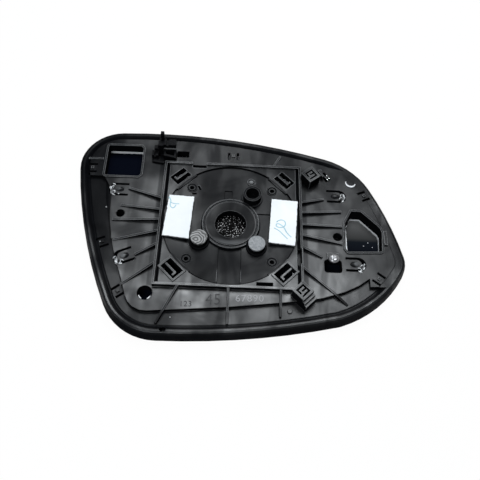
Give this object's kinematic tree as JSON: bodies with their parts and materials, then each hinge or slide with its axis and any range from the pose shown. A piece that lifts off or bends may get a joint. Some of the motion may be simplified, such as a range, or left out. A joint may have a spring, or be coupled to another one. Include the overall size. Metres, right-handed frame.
{
  "type": "car door mirror glass",
  "caption": "Heated door mirror glass on a black moulded backing plate with actuator seat, ball bore, hook slots and clips.",
  "frame": {"origin": "point of the mirror face right under the axis of the ball bore, in the middle of the round actuator seat", "axes": "+Z out of the back, along the ball bore; +X along the long side, towards the pointed end; +Y towards the side with the wire clip; the mirror face lies on Z = 0"},
  "size_m": [0.1934, 0.1347, 0.024],
  "materials": {
    "plate": "satin",
    "mirror": "polished",
    "white_foam": "matte",
    "black_foam": "matte",
    "clip": "satin",
    "pad": "matte",
    "cap_shiny": "gloss",
    "cap_matte": "matte",
    "tab": "satin"
  },
  "bodies": {
    "root": {"backing_plate": "plate", "mirror_glass": "mirror", "foam_sheet": "white_foam", "socket_foam": "black_foam", "wire_clip": "clip", "pad_left": "pad", "pad_right": "pad", "post_cap_left": "cap_shiny", "post_cap_right": "cap_matte", "terminal_tab": "tab"}
  },
  "joints": []
}
